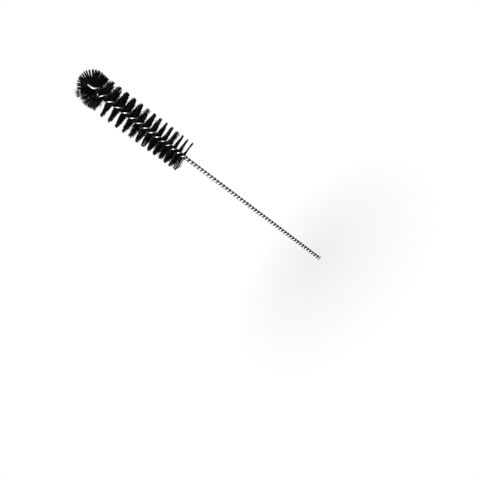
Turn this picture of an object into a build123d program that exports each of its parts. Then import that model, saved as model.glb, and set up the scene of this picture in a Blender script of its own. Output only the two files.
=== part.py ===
from build123d import *
import math
import os

# Twisted-in-wire brush for cleaning valves, driven by a drill.
# Frame: millimetres, the axis is Z, the cut shank end is at z = 0 and the bristled tip points up.
# Lengths along the twist are counted in half turns from the first bristles.

# Driving dimensions
wire_d = 2.4  # each of the two strands of the folded core wire
shank_grip = 35.0  # plain twisted wire that the chuck jaws hold
stem_len = 185.0  # bare twisted stem between the chuck and the first bristles
stem_half_turn = 4.6  # length of half a turn in the stem
head_half_turn = 6.23  # length of half a turn where the bristles begin
head_opening = 0.23  # each half turn of the head is longer than the last by this much
head_turns = 14.6  # half turns of the head, up to the nose
first_row_turn = 0.6  # half turns from the first bristles to where they first lie along X
brush_d = 38.0  # over the bristle tips
strand_gap = 0.16  # between the strands of the bare stem
nip_gap = 0.6  # between the strands where they pinch the bristles
nip_clearance = 0.14  # each side, between a tuft and its strand
nose_spread = 3.0  # further out that the strands stand at the folded nose
nose_opening = 2.4  # half turns over which the strands spread
nose_untwist = 0.35  # half turns before and after the last one in which the twist dies out
tufts_per_row = 10
tuft_gap = 0.12  # between one tuft and the next along the wire
waist_len = 3.0  # parallel part of a tuft, between the strands
fan_tufts = 4  # tufts that splay forward through the nose
fan_turns = 0.2  # half turns before the last one at which the splayed tufts begin
fan_bend = 1.7  # distance from the axis at which the innermost splayed tuft bends
fan_bend_step = 1.1  # each tuft outside it bends this much further out
fan_first_lean = 14.0  # forward lean of the lowest splayed tuft, degrees
fan_last_lean = 74.0  # and of the highest
wire_sides = 6  # flats that stand for the round section of the wire
runs_per_half_turn = 6  # straight runs that stand for the curve of a strand
fold_runs = 6  # and of the fold

# What follows from them
head_start = shank_grip + stem_len
brush_r = brush_d / 2
wire_r = wire_d / 2
stem_r = (wire_d + strand_gap) / 2
nip_r = (wire_d + nip_gap) / 2
nose_r = nip_r + nose_spread
nose_turn = head_turns + nose_untwist
fan_start = head_turns - fan_turns
first_turn = -head_start / stem_half_turn
tuft_half_angle = 90 / tufts_per_row
flat_tufts = round(fan_start * tufts_per_row)
rows = math.ceil(flat_tufts / tufts_per_row)


def ease(t):
    t = min(max(t, 0.0), 1.0)
    return t * t * (3 - 2 * t)


def height_at(n):
    """Height above the cut end after n half turns."""
    if n < 0:
        return head_start + stem_half_turn * n
    return head_start + head_half_turn * n + head_opening * n * n / 2


def bristle_angle(n):
    """Direction of the bristles in degrees. The twist is left-handed and dies out at the nose."""
    dying = max(n - (head_turns - nose_untwist), 0.0)
    turned_through = n - dying * dying / (4 * nose_untwist)
    return -180 * (turned_through - first_row_turn)


def strand_radius(n):
    """Distance from the axis to the middle of a strand."""
    pinched = stem_r + (nip_r - stem_r) * ease(n + 1)
    return pinched + nose_spread * ease((n - head_turns + nose_opening) / nose_opening)


def strand_point(n, side):
    """The strands lie on both sides of the bristles."""
    a = math.radians(bristle_angle(n) + 90)
    r = side * strand_radius(n)
    return Vector(r * math.cos(a), r * math.sin(a), height_at(n))


def strand_points(side):
    """One strand, from below the cut end to the nose."""
    start = first_turn - 1
    runs = math.ceil((nose_turn - start) * runs_per_half_turn)
    step = (nose_turn - start) / runs
    return [strand_point(start + i * step, side) for i in range(runs + 1)]


def fold_points():
    """The bend over the tip, from one strand to the other."""
    across = Vector(0, 0, 0) + strand_point(nose_turn, 1) - Vector(0, 0, height_at(nose_turn))
    middle = Vector(0, 0, height_at(nose_turn))
    rise = Vector(0, 0, nose_r)
    turns = [math.pi * i / fold_runs for i in range(1, fold_runs)]
    return [middle + across * math.cos(t) + rise * math.sin(t) for t in turns]


def core_wire():
    """One wire, folded at the nose, with its two halves twisted together and cut flush."""
    path = Polyline(*strand_points(1), *fold_points(), *reversed(strand_points(-1)))
    section = Plane(origin=path @ 0, z_dir=path % 0) * RegularPolygon(wire_r, wire_sides)
    wire = sweep(section, path, transition=Transition.RIGHT)
    trim = 4 * stem_half_turn
    return wire - Pos(0, 0, -trim / 2) * Box(brush_d, brush_d, trim)


def half_turned(n, turns):
    """Half the angle, in degrees, that the strands turn through on a length centred at n."""
    return (bristle_angle(n - turns / 2) - bristle_angle(n + turns / 2)) / 2


def waist_half_width(n, turns):
    """A tuft fills the gap between the strands, less what their turning and their runs take."""
    turning = math.cos(math.radians(half_turned(n, turns)))
    chord = math.cos(math.radians(half_turned(n, 1 / runs_per_half_turn)))
    return strand_radius(n) * turning * chord - wire_r - nip_clearance


def room_along(n, turns):
    """Thickness that a tuft has along the wire."""
    return height_at(n + turns / 2) - height_at(n - turns / 2) - tuft_gap


def flat_tuft(n):
    """A bundle of bristles held at its waist, fanned out on both sides of the wire."""
    waist = waist_half_width(n, 1 / tufts_per_row)
    reach = brush_r * math.cos(math.radians(tuft_half_angle))
    tip = max(brush_r * math.sin(math.radians(tuft_half_angle)), waist)
    half = [(waist_len / 2, -waist), (reach, -tip), (brush_r, 0), (reach, tip), (waist_len / 2, waist)]
    outline = Polygon(*half, *[(-x, -y) for x, y in half], align=None)
    thickness = room_along(n, 1 / tufts_per_row)
    return extrude(outline, thickness / 2, both=True)


def splayed_tuft(n, turns, lean, bend_at):
    """A bundle through the nose, with both arms leaning forward."""
    thickness = room_along(n, turns)
    along = Vector(math.cos(math.radians(lean)), math.sin(math.radians(lean)))
    across = Vector(-along.Y, along.X) * (thickness / 2)
    mitre = Vector(-math.tan(math.radians(lean / 2)), 1) * (thickness / 2)
    bend = Vector(bend_at, 0)
    tip = bend + along * (brush_r - bend_at)
    right = [bend - mitre, tip - across, tip + across, bend + mitre]
    left = [Vector(-p.X, p.Y) for p in reversed(right)]
    outline = Plane.XZ * Polygon(*[(p.X, p.Y) for p in right + left], align=None)
    return extrude(outline, waist_half_width(n, turns), both=True)


def seated(tuft, n):
    """Puts a tuft into the wire after n half turns."""
    return Pos(0, 0, height_at(n)) * Rot(0, 0, bristle_angle(n)) * tuft


def bristle_row(row):
    """Half a turn of tufts, each turned on from the last like the steps of a spiral stair."""
    first = row * tufts_per_row
    after_last = min(first + tufts_per_row, flat_tufts)
    turns = [(i + 0.5) / tufts_per_row for i in range(first, after_last)]
    return Compound(children=[seated(flat_tuft(n), n) for n in turns])


def nose_fan():
    """The last bundles, held in the open nose, nested in one another."""
    turns = (nose_turn - fan_start) / fan_tufts
    lean_step = (fan_last_lean - fan_first_lean) / (fan_tufts - 1)
    tufts = []
    for i in range(fan_tufts):
        n = fan_start + (i + 0.5) * turns
        bend_at = fan_bend + fan_bend_step * (fan_tufts - 1 - i)
        tufts.append(seated(splayed_tuft(n, turns, fan_first_lean + i * lean_step, bend_at), n))
    return Compound(children=tufts)


nodes = {"core_wire": core_wire(), "nose_fan": nose_fan()}
for row in range(rows):
    nodes[f"bristle_row_{row + 1:02d}"] = bristle_row(row)

os.makedirs("parts", exist_ok=True)
for name, shape in nodes.items():
    export_step(shape, f"parts/{name}.step")
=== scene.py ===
# Twisted-in-wire brush for cleaning valves: its round wire, its loose filaments and how they look.

import math

import bmesh
import bpy
import numpy as np
from mathutils import Matrix, Vector


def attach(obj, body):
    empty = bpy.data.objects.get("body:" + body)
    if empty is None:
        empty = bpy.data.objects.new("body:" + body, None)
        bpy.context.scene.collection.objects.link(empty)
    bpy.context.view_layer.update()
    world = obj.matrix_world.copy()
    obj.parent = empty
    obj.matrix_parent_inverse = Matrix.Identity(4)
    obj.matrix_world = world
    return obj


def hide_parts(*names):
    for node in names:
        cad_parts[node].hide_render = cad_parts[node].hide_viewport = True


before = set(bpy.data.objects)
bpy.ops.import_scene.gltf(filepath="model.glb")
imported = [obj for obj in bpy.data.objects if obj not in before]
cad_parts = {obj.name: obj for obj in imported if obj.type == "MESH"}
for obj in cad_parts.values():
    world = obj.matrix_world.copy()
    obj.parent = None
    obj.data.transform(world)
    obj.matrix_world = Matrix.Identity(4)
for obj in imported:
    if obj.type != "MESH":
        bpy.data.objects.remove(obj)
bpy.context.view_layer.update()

# Sizes as in the CAD source, in millimetres. Turns are half turns of the twist from the first bristles.
MM = 0.001
wire_d = 2.4
shank_grip = 35.0
stem_len = 185.0
stem_half_turn = 4.6
head_half_turn = 6.23
head_opening = 0.23
head_turns = 14.6
first_row_turn = 0.6
brush_d = 38.0
strand_gap = 0.16
nip_gap = 0.6
nose_spread = 3.0
nose_opening = 2.4
nose_untwist = 0.35
tufts_per_row = 10
fan_turns = 0.2

head_start = shank_grip + stem_len
brush_r = brush_d / 2
wire_r = wire_d / 2
stem_r = (wire_d + strand_gap) / 2
nip_r = (wire_d + nip_gap) / 2
nose_r = nip_r + nose_spread
nose_turn = head_turns + nose_untwist
fan_start = head_turns - fan_turns
rows = math.ceil(round(fan_start * tufts_per_row) / tufts_per_row)

# How finely the pieces are made
wire_rings_per_half_turn = 20
wire_sides = 18
fold_rings = 24
filament_sides = 6
arm_rings = 6

# All bristles
seed = 7
filament_r = 0.205
filaments_per_half_turn = 150  # at full density
first_density = 0.32  # share of the full density where they begin
first_bristle_turn = 0.34
full_bristle_turn = 2.6  # from which they stand at full density
nip_fill = 0.7  # share of the gap between the strands that holds them
neat_spread = math.radians(3.2)  # how far they stray aside
lean_share = 0.5  # how far they stray forward and back, next to aside
clump = 6  # filaments that stray together
clump_share = 0.6  # how far a clump strays, next to each filament by itself
bow = 0.03  # how far they bow on the way out, in radians
trim_shortfall = 0.3  # unevenness of their cut ends
edge_room = 0.25  # that the tips leave inside the size of the brush

# Ragged and loose leaves. Leans are forward, in degrees.
ragged_turns = (3.6, 8.6)
ragged_reach = 0.45  # half turns to each side
ragged_spread = 1.1  # how much further they stray, times the neat spread
loose_from = 13.0
loose_spread = 0.6  # how much further they stray, times the neat spread
loose_middle = 13.85  # towards which the loose leaves splay
loose_leans_below = (-6, 36)
loose_leans_above = (-28, 12)
last_leaf_turn = head_turns - 1
last_leaf_reach = 0.6
last_leaf_back = 4

# Bristles at the nose. Leans are forward and swings aside, in degrees.
nose_filaments = 560
fan_middle = (1.9, 0.0, 335.9)  # of the ball that they are trimmed to
fan_r = 18.0
fan_spread = 0.5  # times the neat spread
fan_strokes = 12  # that the filaments gather into by their tips
upper_leans = (-8, 92)
lower_leans = (42, 92)
upper_flattening = 0.5  # share of the way that an arm turns into the plane of the fan
lower_flattening = 0.8
stroke_jitter = 0.15  # how far the middle of a stroke is off, next to its width
gather_least = 0.5  # share of the way to their middle that filaments gather, in the first strokes
gather_most = 0.75  # and in the others
gather_grows_from = 0.1  # share of the fan after which it grows
gather_grows_over = 0.25
stroke_bend = -1.6  # how far an arm bends on the way out, next to how far it is gathered
back_until = 0.3  # share of the lower arms up to which they lean back
back_leans = (-28, 44)
back_swings = (25, 50)
back_swing_over = 0.3  # radians of lean over which the swing grows
back_spread = 1.7  # times the neat spread
tuft_until = 0.55  # share of the lower arms up to which they make the round tuft
tuft_lean = (32, 4)  # mean and spread
tuft_swing = (24, 6)  # mean and spread
tuft_stand = 3.4  # how far it stands out past the fan

# Finish of the wire, with painted shade in the grooves of the twist, darkest at the shank. Three values stand
# for the shank, the top of the stem and the wire among the bristles.
finish_heights = (shank_grip, head_start - 4, head_start + 6)
finish_top = head_start + 100
painted_shade_begins = (0.06, 0.10, 0.11)  # share of the way round the wire, from its bright side
painted_shade_full = (0.19, 0.26, 0.21)
# Colours of the painted shade, darkest at the shank and among the bristles
painted_shade_colours = ((0.035, 0.038, 0.03), (0.34, 0.342, 0.29), (0.05, 0.055, 0.045))
steel_colours = ((0.25, (0.72, 0.715, 0.68)), (0.75, (0.88, 0.87, 0.845)))
steel_roughness = (0.24, 0.38)
steel_film = (260.0, 4.0)  # scale and detail of its noise
steel_lines = (6.0, 3.0)  # scale and detail of their noise
line_stretch = (26.0, 60.0, 1.0)  # of that noise, round the wire and along it from end to end
line_strength = 0.25
line_depth = 0.04  # in millimetres
# Among the bristles the painted shade leaves only one side of each strand bright
bright_side = math.radians(36)  # how far the bright side is turned from the outside, among the bristles
bright_side_ends = 0.8  # half turns before the nose over which it turns back

# Finish of the bristles
nylon_colours = ((0.3, (0.0008, 0.0018, 0.0022)), (0.7, (0.002, 0.0034, 0.0038)))
nylon_roughness = (0.32, 0.46)
nylon_patches = (420.0, 2.0)  # scale and detail of their noise
tip_at = 0.5  # along a filament from its middle, where its whole length is 1
cut_end_from = 0.47
cut_end_and_sheen_colours = ((0.0, (0.03, 0.033, 0.035)), (1.0, (0.7, 0.72, 0.73)))  # plain, and with a painted sheen near the top of the nose
sheen_from = 340.0  # height above the cut end
sheen_full = 344.0

# Shared by the finishes
uneven = (0.3, 0.7)  # where a noise begins to tell on the roughness, and where it tells in full
faint_specular = 0.1  # of the nylon and of the floor

# Camera
camera_place = Vector((-6.8, -448.3, 281.3)) * MM
camera_forward = Vector((-0.0716, 0.9300, -0.3604)).normalized()
camera_up = Vector((0.8018, 0.2686, 0.5338))
camera_lens = 28.875
camera_sensor = 36.0
camera_near = 0.01  # in metres

# The room that the wire mirrors is white, with a black flag low on the right, and grey on the right, behind
# the brush and on the left. Each has its way, the cosines to it at which it begins and is full, and a shade.
dark_sides = (
    (Vector((0.35, -0.25, -0.90)).normalized(), 0.5, 0.75, 0.03),
    (Vector((1.0, 0.0, 0.0)), 0.35, 0.8, 0.35),
    (camera_forward, -0.2, 0.6, 0.3),
    (Vector((-1.0, 0.0, 0.0)), 0.2, 0.8, 0.7),
)

# Light and floor, in metres and watts
world_level = 0.55  # strength that lights the object, where the camera sees 1
lamp_power = 9.0
lamp_size = 0.5
lamp_place = Vector((-0.5, -1.0, 0.2))
lamp_aim = Vector((0, 0, 0.2))
floor_radius = 0.18
floor_sides = 96
floor_height = -0.0002  # just clear of the cut end
floor_colour = (0.92, 0.92, 0.92, 1.0)
floor_roughness = 0.9
floor_fade = (0.02, 0.17)  # distances from the middle over which it fades
floor_white = 0.7  # how much of the backdrop's white it has at the middle


# The twist


def ease(t):
    t = np.clip(t, 0.0, 1.0)
    return t * t * (3 - 2 * t)


def height_at(n):
    """Height above the cut end after n half turns."""
    n = np.asarray(n, float)
    stem = head_start + stem_half_turn * n
    head = head_start + head_half_turn * n + head_opening * n * n / 2
    return np.where(n < 0, stem, head)


def bristle_angle(n):
    """Direction of the bristles in radians. The twist is left-handed and dies out at the nose."""
    dying = np.maximum(n - (head_turns - nose_untwist), 0.0)
    turned_through = n - dying * dying / (4 * nose_untwist)
    return -math.pi * (turned_through - first_row_turn)


def strand_radius(n):
    """Distance from the axis to the middle of a strand."""
    pinched = stem_r + (nip_r - stem_r) * ease(n + 1)
    return pinched + nose_spread * ease((n - head_turns + nose_opening) / nose_opening)


def on_axis(n):
    return np.stack([np.zeros_like(n), np.zeros_like(n), height_at(n)], axis=1)


# Meshes


def unit(v):
    return v / np.linalg.norm(v, axis=-1, keepdims=True)


def tubes(name, lines, radii, outward, sides):
    """One mesh of closed round tubes. lines and outward are (tubes, rings, 3), radii is (tubes, rings).
    The UV map gives the way round from the outward side, and the way along from 0 to 1."""
    count, rings, _ = lines.shape
    along = unit(np.gradient(lines, axis=1))
    side_a = unit(outward - along * np.sum(outward * along, axis=2, keepdims=True))
    side_b = np.cross(along, side_a)
    turn = np.arange(sides)[:, None] * 2 * math.pi / sides
    spoke = side_a[:, :, None, :] * np.cos(turn) + side_b[:, :, None, :] * np.sin(turn)
    points = lines[:, :, None, :] + spoke * radii[:, :, None, None]
    ring_at = (np.arange(count)[:, None] * rings + np.arange(rings)[None, :]) * sides
    here = np.arange(sides)
    there = (here + 1) % sides
    low = ring_at[:, :-1, None]
    high = ring_at[:, 1:, None]
    quads = np.stack([low + here, low + there, high + there, high + here], axis=3).reshape(-1, 4)
    start_caps = ring_at[:, 0, None] + here[::-1]
    end_caps = ring_at[:, -1, None] + here
    faces = quads.tolist() + start_caps.tolist() + end_caps.tolist()
    mesh = bpy.data.meshes.new(name)
    mesh.from_pydata((points.reshape(-1, 3) * MM).tolist(), [], faces)
    smooth = np.ones(len(faces), bool)
    smooth[len(quads):] = False
    mesh.polygons.foreach_set("use_smooth", smooth)
    way_along = np.linspace(0, 1, rings)
    u_low = np.broadcast_to(here / sides, (count, rings - 1, sides))
    u_high = u_low + 1 / sides
    v_low = np.broadcast_to(way_along[:-1, None], (count, rings - 1, sides))
    v_high = np.broadcast_to(way_along[1:, None], (count, rings - 1, sides))
    side_uv = np.stack([u_low, v_low, u_high, v_low, u_high, v_high, u_low, v_high], axis=3).reshape(-1)
    start_uv = np.tile([0.5, 0.0], count * sides)
    end_uv = np.tile([0.5, 1.0], count * sides)
    uv = np.concatenate([side_uv, start_uv, end_uv])
    mesh.uv_layers.new(name="UVMap").data.foreach_set("uv", uv)
    return mesh


def add_piece(name, mesh, material, slot, *nodes):
    piece = bpy.data.objects.new(name, mesh)
    bpy.context.scene.collection.objects.link(piece)
    mesh.materials.append(material)
    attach(piece, "root")
    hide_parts(*nodes)


# The wire


def core_wire():
    """One wire folded over the nose, with its halves twisted together and cut flush at the shank."""
    below = -head_start / stem_half_turn - 1
    stem_rings = int(-below * wire_rings_per_half_turn)
    head_rings = int(nose_turn * wire_rings_per_half_turn)
    stem = np.linspace(below, 0, stem_rings, endpoint=False)
    head = np.linspace(0, nose_turn, head_rings)
    n = np.concatenate([stem, head])
    angle = bristle_angle(n) + math.pi / 2
    radial = np.stack([np.cos(angle), np.sin(angle), np.zeros_like(n)], axis=1)
    axis = on_axis(n)
    half_a = axis + radial * strand_radius(n)[:, None]
    half_b = axis - radial * strand_radius(n)[:, None]
    fold = np.linspace(0, math.pi, fold_rings + 2)[1:-1, None]
    up = np.array([[0.0, 0.0, 1.0]])
    over = radial[-1:] * np.cos(fold) + up * np.sin(fold)
    line = np.concatenate([half_a, axis[-1:] + over * nose_r, half_b[::-1]])
    # The side of each strand that the painted shade leaves bright turns away from the outside among the
    # bristles
    bright_at = angle - bright_side * ease(n) * ease((nose_turn - n) / bright_side_ends)
    bright = np.stack([np.cos(bright_at), np.sin(bright_at), np.zeros_like(n)], axis=1)
    outward = np.concatenate([bright, over, -bright[::-1]])
    radii = np.full((1, len(line)), wire_r)
    mesh = tubes("core_wire_twisted", line[None], radii, outward[None], wire_sides)
    cut_flush(mesh)
    return mesh


def cut_flush(mesh):
    """Cuts the wire square at the shank end and closes the two cuts."""
    work = bmesh.new()
    work.from_mesh(mesh)
    everything = work.verts[:] + work.edges[:] + work.faces[:]
    cut = bmesh.ops.bisect_plane(
        work, geom=everything, plane_co=(0, 0, 0), plane_no=(0, 0, -1), clear_outer=True
    )
    rim = [part for part in cut["geom_cut"] if isinstance(part, bmesh.types.BMEdge)]
    bmesh.ops.edgeloop_fill(work, edges=rim)
    for vertex in work.verts:
        vertex.co.z = max(vertex.co.z, 0.0)
    work.to_mesh(mesh)
    work.free()


# Filaments


def direction(angle, lean):
    return np.stack([np.cos(angle) * np.cos(lean), np.sin(angle) * np.cos(lean), np.sin(lean)], axis=1)


def arm(root, angle, lean, bow_angle, bow_lean, length):
    """Points from the nip to the tip. The filament bows a little on the way."""
    points = []
    for t in np.linspace(0, 1, arm_rings)[1:]:
        way = direction(angle + bow_angle * (t - 1), lean + bow_lean * (t - 1))
        points.append(root + way * (length * t)[:, None])
    return np.stack(points, axis=1)


def kept_inside(points, root):
    """Trims each arm to the round of the brush."""
    room = brush_r - edge_room
    reached = np.hypot(points[:, -1, 0], points[:, -1, 1])
    trim = room / np.maximum(reached, room)
    return root[:, None] + (points - root[:, None]) * trim[:, None, None]


def filaments(name, n, leans, bends, swings, spread, reach, rng):
    """Filaments held in the nip at n, each in one piece from tip to tip. reach is the length of each of its
    two arms. In radians, leans is how far an arm leans forward, bends how much of that comes on the way, and
    swings how far it turns aside."""
    count = len(n)
    clump_of = np.arange(count) // clump
    middle_angle = bristle_angle(n)
    across = np.stack([-np.sin(middle_angle), np.cos(middle_angle), np.zeros(count)], axis=1)
    layer = rng.uniform(-1, 1, count) * (strand_radius(n) - wire_r) * nip_fill
    root = on_axis(n) + across * layer[:, None]
    arms = []
    for side in (0, 1):
        stray = rng.normal(0, 1, count)[clump_of] * clump_share + rng.normal(0, 1, count)
        angle = middle_angle + math.pi * side + swings[side] + stray * spread
        lean = leans[side] + rng.normal(0, 1, count) * spread * lean_share
        bow_angle = rng.normal(0, bow, count)
        bow_lean = bends[side] + rng.normal(0, bow, count)
        shortfall = np.abs(rng.normal(0, 1, count)) * trim_shortfall * (spread / neat_spread) ** 2
        points = arm(root, angle, lean, bow_angle, bow_lean, reach[side] - shortfall)
        arms.append(kept_inside(points, root))
    line = np.concatenate([arms[1][:, ::-1], root[:, None], arms[0]], axis=1)
    outward = np.broadcast_to(across[:, None], line.shape)
    radii = np.full(line.shape[:2], filament_r)
    return tubes(name, line, radii, outward, filament_sides)


# The rows of bristles


def density(n):
    """Share of the full number of filaments, which is less where the bristles begin."""
    begun = n > first_bristle_turn
    filled = ease((n - first_bristle_turn) / (full_bristle_turn - first_bristle_turn))
    return begun * (first_density + (1 - first_density) * filled)


def loose_lean(n, facing, rng):
    """How far the filaments lean forward. Near the nose the wire holds them loosely: on one side the last
    leaf leans back a little, and on the other the last leaves splay towards each other."""
    last_leaf = ease(1 - np.abs(n - last_leaf_turn) / last_leaf_reach) * np.maximum(facing, 0)
    loose = (n > loose_from) * np.maximum(-facing, 0)
    below = rng.uniform(*loose_leans_below, len(n))
    above = rng.uniform(*loose_leans_above, len(n))
    splay = np.radians(np.where(n < loose_middle, below, above))
    return loose * splay - np.radians(last_leaf_back) * last_leaf


def looseness(n):
    """How far the filaments stray. Two of the leaves are ragged, and so are the last ones."""
    ragged = sum(np.abs(n - turn) < ragged_reach for turn in ragged_turns)
    return neat_spread * (1 + ragged_spread * ragged + loose_spread * (n > loose_from))


def bristle_row(name, row, rng):
    """Half a turn of filaments, which turn with the wire. The last row stops where the nose begins."""
    last = min(row + 1, fan_start)
    places = int(filaments_per_half_turn * (last - row))
    n = row + (np.arange(places) + rng.uniform(0, 1, places)) / filaments_per_half_turn
    n = n[rng.uniform(0, 1, places) < density(n)]
    facing = np.cos(bristle_angle(n))
    leans = np.stack([loose_lean(n, facing, rng), loose_lean(n, -facing, rng)])
    straight = np.zeros_like(leans)
    return filaments(name, n, leans, straight, straight, looseness(n), (brush_r, brush_r), rng)


# The bristles at the nose


def wrapped(angle):
    return (angle + math.pi) % (2 * math.pi) - math.pi


def ball_reach(root, angle, lean):
    """Length of an arm from its root to the ball that the nose bristles are trimmed to."""
    way = direction(angle, lean)
    from_middle = root - np.array([fan_middle])
    ahead = np.sum(from_middle * way, axis=1)
    return np.sqrt(ahead ** 2 + fan_r ** 2 - np.sum(from_middle ** 2, axis=1)) - ahead


def stroke_lean(share, strokes, first, last, rng):
    """Leans from first to last degrees, which gather into strokes by the tips, and how much the arms bend for
    that."""
    stroke = np.minimum(np.floor(share * strokes), strokes - 1)
    jitter = rng.uniform(-stroke_jitter, stroke_jitter, strokes)[stroke.astype(int)]
    off_middle = share - (stroke + 0.5 + jitter) / strokes
    grown = ease((share - gather_grows_from) / gather_grows_over)
    gather = gather_least + (gather_most - gather_least) * grown
    gathered = np.radians(last - first) * off_middle * gather
    return np.radians(first + (last - first) * share) - gathered, gathered * stroke_bend


def nose_bristles(name, rng):
    """The last filaments, loose in the open nose. They splay forward round it on one side. On the other
    some lean back, some stand out as a round tuft, and the rest splay forward too."""
    share = (np.arange(nose_filaments) + rng.uniform(0, 1, nose_filaments)) / nose_filaments
    n = fan_start + share * (nose_turn - fan_start)
    back = share < back_until
    tuft = (share >= back_until) & (share < tuft_until)
    rest = np.clip((share - tuft_until) / (1 - tuft_until), 0, 1)
    upper, upper_bend = stroke_lean(share, fan_strokes, *upper_leans, rng)
    lower, lower_bend = stroke_lean(rest, fan_strokes // 2, *lower_leans, rng)
    flat = -wrapped(bristle_angle(n))
    upper_swing = flat * upper_flattening
    lower_swing = flat * lower_flattening
    lower[back] = np.radians(rng.uniform(*back_leans, back.sum()))
    back_swing = np.radians(rng.uniform(*back_swings, back.sum()))
    lower_swing[back] = flat[back] + ease(lower[back] / back_swing_over) * back_swing
    lower[tuft] = np.radians(rng.normal(*tuft_lean, tuft.sum()))
    lower_swing[tuft] = flat[tuft] + np.radians(rng.normal(*tuft_swing, tuft.sum()))
    lower_bend[back | tuft] = 0
    upper_reach = ball_reach(on_axis(n), bristle_angle(n) + upper_swing, upper)
    lower_reach = ball_reach(on_axis(n), bristle_angle(n) + math.pi + lower_swing, lower)
    lower_reach[tuft] += tuft_stand
    lower_reach[back] = brush_r
    leans = (upper, lower)
    bends = (upper_bend, lower_bend)
    swings = (upper_swing, lower_swing)
    reach = (upper_reach, lower_reach)
    spread = np.where(back, neat_spread * back_spread, neat_spread * fan_spread)
    return filaments(name, n, leans, bends, swings, spread, reach, rng)


# Nodes of materials and of the world


def node(tree, kind, **settings):
    made = tree.nodes.new(kind)
    for key, value in settings.items():
        setattr(made, key, value)
    return made


def feed(tree, socket, value):
    """Links the socket to another node's output, or sets it to a plain value."""
    if isinstance(value, bpy.types.NodeSocket):
        tree.links.new(value, socket)
    else:
        socket.default_value = value


def coordinates(tree, kind):
    return node(tree, "ShaderNodeTexCoord").outputs[kind]


def uv_map(tree):
    return node(tree, "ShaderNodeUVMap", uv_map="UVMap").outputs["UV"]


def component(tree, vector, axis):
    made = node(tree, "ShaderNodeSeparateXYZ")
    feed(tree, made.inputs["Vector"], vector)
    return made.outputs[axis]


def mapping(tree, vector, scale):
    made = node(tree, "ShaderNodeMapping")
    feed(tree, made.inputs["Vector"], vector)
    feed(tree, made.inputs["Scale"], scale)
    return made.outputs["Vector"]


def noise(tree, vector, scale, detail):
    made = node(tree, "ShaderNodeTexNoise")
    feed(tree, made.inputs["Vector"], vector)
    feed(tree, made.inputs["Scale"], scale)
    feed(tree, made.inputs["Detail"], detail)
    return made.outputs["Fac"]


def maths(tree, operation, *values):
    made = node(tree, "ShaderNodeMath", operation=operation)
    for socket, value in zip(made.inputs, values):
        feed(tree, socket, value)
    return made.outputs["Value"]


def amount_along(tree, vector, way):
    made = node(tree, "ShaderNodeVectorMath", operation="DOT_PRODUCT")
    feed(tree, made.inputs[0], vector)
    feed(tree, made.inputs[1], way)
    return made.outputs["Value"]


def remap(tree, value, low, high, to_low=0.0, to_high=1.0):
    """Evenly from the range low to high onto to_low to to_high, and flat outside it."""
    made = node(tree, "ShaderNodeMapRange")
    feed(tree, made.inputs["Value"], value)
    feed(tree, made.inputs["From Min"], low)
    feed(tree, made.inputs["From Max"], high)
    feed(tree, made.inputs["To Min"], to_low)
    feed(tree, made.inputs["To Max"], to_high)
    return made.outputs["Result"]


def ramp(tree, value, stops):
    made = node(tree, "ShaderNodeValToRGB")
    elements = made.color_ramp.elements
    while len(elements) < len(stops):
        elements.new(0.5)
    for element, (place, colour) in zip(elements, stops):
        element.position = place
        element.color = (*colour, 1.0)
    feed(tree, made.inputs["Fac"], value)
    return made.outputs["Color"]


def mixed(tree, factor, one, other):
    made = node(tree, "ShaderNodeMix", data_type="RGBA")
    feed(tree, made.inputs["Factor"], factor)
    feed(tree, made.inputs["A"], one)
    feed(tree, made.inputs["B"], other)
    return made.outputs["Result"]


# Materials


def new_material(name):
    material = bpy.data.materials.new(name)
    material.use_nodes = True
    tree = material.node_tree
    return material, tree, tree.nodes["Principled BSDF"]


def along_wire(tree, tall, colours):
    """Changes evenly up the stem, and again where the bristles begin."""
    stops = [(height / finish_top, colour) for height, colour in zip(finish_heights, colours)]
    return ramp(tree, tall, stops)


def greys(values):
    return [(value,) * 3 for value in values]


def steel():
    """Bright drawn wire: fine lines along it, a thin dull film, and painted shade in the grooves of the
    twist, which among the bristles leaves only one side of each strand bright."""
    material, tree, shader = new_material("bright_steel_wire")
    uv = uv_map(tree)
    place = coordinates(tree, "Object")
    film = noise(tree, place, *steel_film)
    from_bright_side = maths(tree, "PINGPONG", component(tree, uv, "X"), 0.5)
    tall = remap(tree, component(tree, place, "Z"), 0.0, finish_top * MM)
    begins = along_wire(tree, tall, greys(painted_shade_begins))
    full = along_wire(tree, tall, greys(painted_shade_full))
    # Painted shade, by the way round each strand from its bright side and by the height
    painted_shade_share = remap(tree, from_bright_side, begins, full)
    unshaded_steel = ramp(tree, film, steel_colours)
    painted_shade = along_wire(tree, tall, painted_shade_colours)
    lines = noise(tree, mapping(tree, uv, line_stretch), *steel_lines)
    bump = node(tree, "ShaderNodeBump")
    feed(tree, bump.inputs["Strength"], line_strength)
    feed(tree, bump.inputs["Distance"], line_depth * MM)
    feed(tree, bump.inputs["Height"], lines)
    feed(tree, shader.inputs["Base Color"], mixed(tree, painted_shade_share, unshaded_steel, painted_shade))
    feed(tree, shader.inputs["Metallic"], 1.0)
    feed(tree, shader.inputs["Roughness"], remap(tree, film, *uneven, *steel_roughness))
    feed(tree, shader.inputs["Normal"], bump.outputs["Normal"])
    return material


def nylon():
    """Black bristle nylon: slightly glossy, a little uneven from one filament to the next, paler where it was
    cut, and palest on the tips that lead at the nose, where a sheen is painted."""
    material, tree, shader = new_material("black_nylon")
    place = coordinates(tree, "Object")
    patch = noise(tree, place, *nylon_patches)
    body = ramp(tree, patch, nylon_colours)
    from_middle = maths(tree, "SUBTRACT", component(tree, uv_map(tree), "Y"), tip_at)
    cut = remap(tree, maths(tree, "ABSOLUTE", from_middle), cut_end_from, tip_at)
    # The tips near the top of the nose carry a painted sheen
    leading = remap(tree, component(tree, place, "Z"), sheen_from * MM, sheen_full * MM)
    cut_end_and_sheen = ramp(tree, leading, cut_end_and_sheen_colours)
    feed(tree, shader.inputs["Base Color"], mixed(tree, cut, body, cut_end_and_sheen))
    feed(tree, shader.inputs["Roughness"], remap(tree, patch, *uneven, *nylon_roughness))
    feed(tree, shader.inputs["Specular IOR Level"], faint_specular)
    return material


# Camera, light and floor


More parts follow.
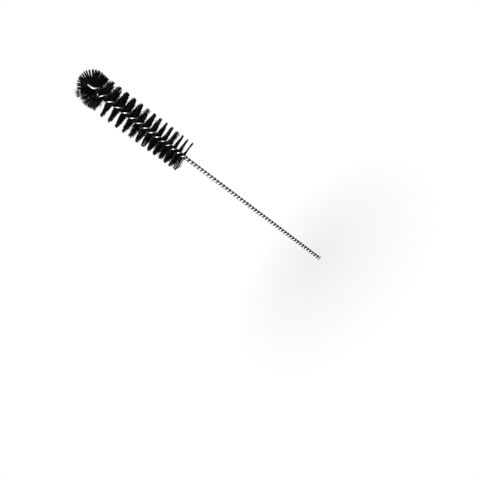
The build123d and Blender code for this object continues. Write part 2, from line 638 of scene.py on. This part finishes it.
def add_camera():
    """The camera is fitted to the object's own dimensions."""
    data = bpy.data.cameras.new("camera")
    data.lens = camera_lens
    data.sensor_width = camera_sensor
    data.clip_start = camera_near
    camera = bpy.data.objects.new("camera", data)
    bpy.context.scene.collection.objects.link(camera)
    right = camera_forward.cross(camera_up).normalized()
    up = right.cross(camera_forward)
    turned = Matrix((right, up, -camera_forward)).transposed().to_4x4()
    camera.matrix_world = Matrix.Translation(camera_place) @ turned
    bpy.context.scene.camera = camera


def add_world():
    """Plain even light. The camera sees it white, and what is glossy mirrors the white room in it."""
    world = bpy.data.worlds.new("world")
    world.use_nodes = True
    bpy.context.scene.world = world
    tree = world.node_tree
    background = tree.nodes["Background"]
    rays = node(tree, "ShaderNodeLightPath").outputs
    seen = maths(tree, "MAXIMUM", rays["Is Camera Ray"], rays["Is Glossy Ray"])
    seen = maths(tree, "MAXIMUM", seen, rays["Is Transmission Ray"])
    feed(tree, background.inputs["Strength"], remap(tree, seen, 0.0, 1.0, world_level, 1.0))
    way = coordinates(tree, "Generated")
    room = 1.0
    for side_way, begins, full, shade in dark_sides:
        shaded = remap(tree, amount_along(tree, way, side_way), begins, full, 1.0, shade)
        room = maths(tree, "MULTIPLY", room, shaded)
    not_mirrored = remap(tree, rays["Is Glossy Ray"], 0.0, 1.0, 1.0, 0.0)
    shown = maths(tree, "MAXIMUM", room, not_mirrored)
    tint = node(tree, "ShaderNodeCombineColor")
    for channel in ("Red", "Green", "Blue"):
        feed(tree, tint.inputs[channel], shown)
    feed(tree, background.inputs["Color"], tint.outputs["Color"])


def add_lamp():
    data = bpy.data.lights.new("key", "AREA")
    data.energy = lamp_power
    data.size = lamp_size
    lamp = bpy.data.objects.new("key", data)
    bpy.context.scene.collection.objects.link(lamp)
    lamp.location = lamp_place
    lamp.rotation_mode = "QUATERNION"
    lamp.rotation_quaternion = (lamp_aim - lamp_place).to_track_quat("-Z", "Y")


def add_floor():
    """A pale disc that fades into the white backdrop, so that its rim doesn't show."""
    mesh = bpy.data.meshes.new("floor")
    turns = [2 * math.pi * i / floor_sides for i in range(floor_sides)]
    rim = [(floor_radius * math.cos(turn), floor_radius * math.sin(turn), floor_height) for turn in turns]
    mesh.from_pydata(rim, [], [list(range(floor_sides))])
    floor = bpy.data.objects.new("floor", mesh)
    bpy.context.scene.collection.objects.link(floor)
    material, tree, shader = new_material("pale_floor")
    feed(tree, shader.inputs["Base Color"], floor_colour)
    feed(tree, shader.inputs["Roughness"], floor_roughness)
    feed(tree, shader.inputs["Specular IOR Level"], faint_specular)
    rays = node(tree, "ShaderNodeLightPath").outputs
    far = node(tree, "ShaderNodeVectorMath", operation="LENGTH")
    feed(tree, far.inputs[0], coordinates(tree, "Object"))
    fade = remap(tree, far.outputs["Value"], *floor_fade, floor_white, 1.0)
    white = node(tree, "ShaderNodeEmission")
    mix = node(tree, "ShaderNodeMixShader")
    feed(tree, mix.inputs["Fac"], maths(tree, "MULTIPLY", fade, rays["Is Camera Ray"]))
    feed(tree, mix.inputs[1], shader.outputs["BSDF"])
    feed(tree, mix.inputs[2], white.outputs["Emission"])
    feed(tree, tree.nodes["Material Output"].inputs["Surface"], mix.outputs["Shader"])
    mesh.materials.append(material)
    floor.visible_glossy = False


# The whole scene
add_camera()

wire_material = steel()
bristle_material = nylon()
rng = np.random.default_rng(seed)
add_piece("core_wire_twisted", core_wire(), wire_material, "wire", "core_wire")
for row in range(rows):
    name = f"bristles_{row + 1:02d}"
    mesh = bristle_row(name, row, rng)
    add_piece(name, mesh, bristle_material, "bristle", f"bristle_row_{row + 1:02d}")
mesh = nose_bristles("nose_bristles", rng)
add_piece("nose_bristles", mesh, bristle_material, "bristle", "nose_fan")

add_world()
add_lamp()
add_floor()
bpy.context.scene.view_settings.view_transform = "Standard"
